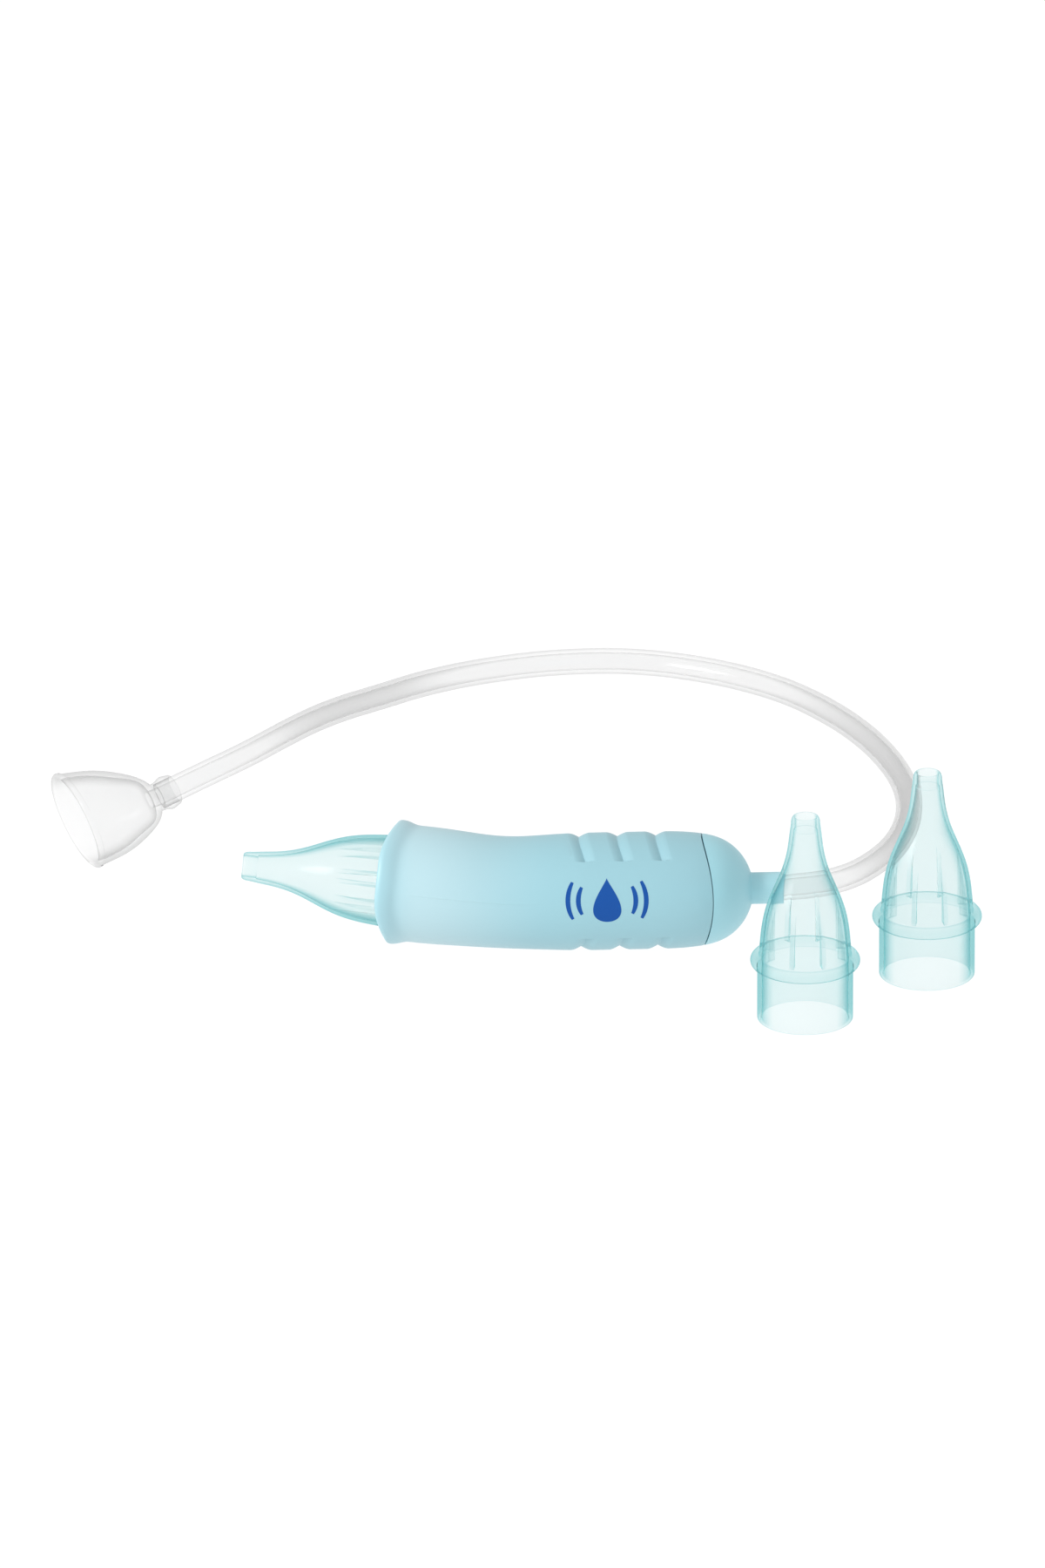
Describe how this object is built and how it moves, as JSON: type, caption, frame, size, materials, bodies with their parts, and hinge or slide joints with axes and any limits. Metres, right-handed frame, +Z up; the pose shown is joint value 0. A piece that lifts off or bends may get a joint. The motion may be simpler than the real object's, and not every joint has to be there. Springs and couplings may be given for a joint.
{
  "type": "nasal aspirator",
  "caption": "Mouth-suction nasal aspirator for a baby: bent hollow grip with a soft tip, a suction hose to a mouthpiece cup, and spare tips beside it.",
  "frame": {"origin": "on the table, under the middle of the box round the handle and the spare tips, hose and mouthpiece left out", "axes": "+X along the handle from the tip to the hose spigot, +Y towards the hose's loop, +Z up"},
  "size_m": [0.2142, 0.2273, 0.0497],
  "materials": {
    "grip_blue": "satin polypropylene",
    "cap_blue": "satin polypropylene",
    "tip_aqua": "smooth translucent silicone",
    "clear_silicone": "smooth milky silicone",
    "seal_white": "smooth silicone",
    "foam_white": "open-cell foam",
    "grid_white": "moulded polypropylene"
  },
  "bodies": {
    "handle": {"grip": "grip_blue", "filter_grid": "grid_white"},
    "tip": {"nozzle": "tip_aqua", "filter_foam": "foam_white"},
    "cap": {"rear_cap": "cap_blue", "cap_seal": "seal_white", "hose": "clear_silicone"},
    "cup": {"mouthpiece": "clear_silicone"},
    "spare_front": {"spare_nozzle_front": "tip_aqua"},
    "spare_rear": {"spare_nozzle_rear": "tip_aqua"}
  },
  "joints": [
    {"name": "tip_pull", "type": "slide", "parent": "handle", "child": "tip", "axis": [-0.9943, 0.0221, 0.1043], "range_m": [0, 0.024]},
    {"name": "cap_pull", "type": "slide", "parent": "handle", "child": "cap", "axis": [0.9998, 0, 0.0209], "range_m": [0, 0.014]},
    {"name": "cup_pull", "type": "slide", "parent": "cap", "child": "cup", "axis": [-0.8715, -0.3899, -0.2974], "range_m": [0, 0.006]},
    {"name": "spare_front_lift", "type": "slide", "parent": "handle", "child": "spare_front", "axis": [0, 0, 1], "range_m": [0, 0.04]},
    {"name": "spare_rear_lift", "type": "slide", "parent": "handle", "child": "spare_rear", "axis": [0, 0, 1], "range_m": [0, 0.04]}
  ]
}
